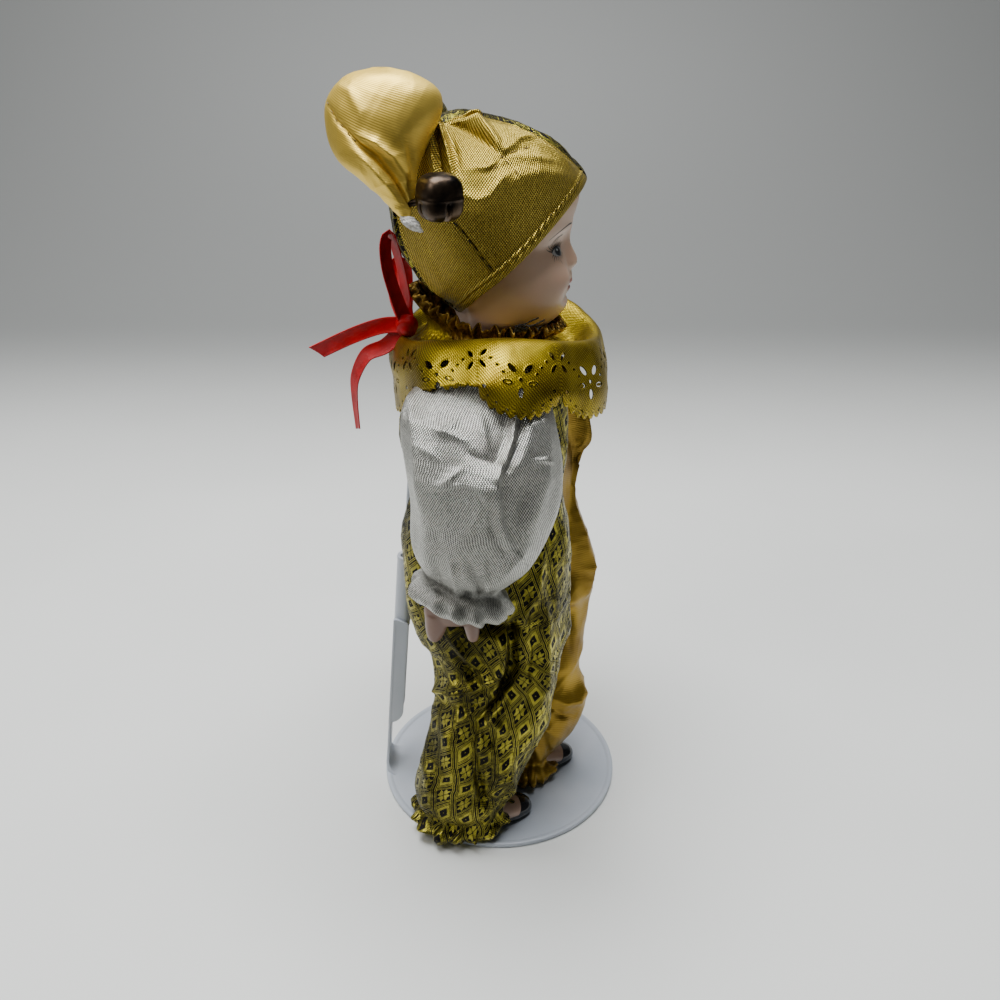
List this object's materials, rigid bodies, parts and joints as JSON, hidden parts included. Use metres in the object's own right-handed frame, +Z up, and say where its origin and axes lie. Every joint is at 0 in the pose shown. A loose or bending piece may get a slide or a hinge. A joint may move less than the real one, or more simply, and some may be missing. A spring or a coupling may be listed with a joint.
{
  "type": "dressed porcelain jester doll on a display stand",
  "caption": "Small porcelain doll in a two-horned jester hat, eyelet collar and half brocade, half satin suit, held at the waist by a bent sheet metal stand.",
  "frame": {"origin": "centre of the underside of the stand's round foot plate", "axes": "+Z up, the doll faces -Y with its right side at -X, and the stand's upright is behind it at +Y"},
  "size_m": [0.105, 0.0879, 0.2175],
  "materials": {
    "stand_paint": "gloss",
    "rod_paint": "gloss",
    "porcelain": "satin",
    "brocade": "woven metallic",
    "gold_satin": "satin",
    "gold_lame": "woven metallic",
    "eyelet_lame": "woven metallic",
    "silver_lame": "woven metallic",
    "bell_metal": "polished gunmetal",
    "wadding": "matte",
    "ribbon_satin": "satin",
    "black_thread": "matte"
  },
  "bodies": {
    "root": {"stand_base": "stand_paint", "stand_rod": "rod_paint", "foot_right": "porcelain", "foot_left": "porcelain", "suit_brocade": "brocade", "suit_gold": "gold_satin", "sleeve_right": "silver_lame", "sleeve_left": "silver_lame", "hand_right": "porcelain", "hand_left": "porcelain", "head": "porcelain", "cap_gold": "gold_lame", "cap_brocade": "brocade", "horn_gold": "gold_satin", "horn_brocade": "brocade", "horn_wadding": "wadding", "bell_right": "bell_metal", "bell_left": "bell_metal", "collar": "eyelet_lame", "neck_ribbon": "ribbon_satin", "chin_thread": "black_thread"}
  },
  "joints": []
}
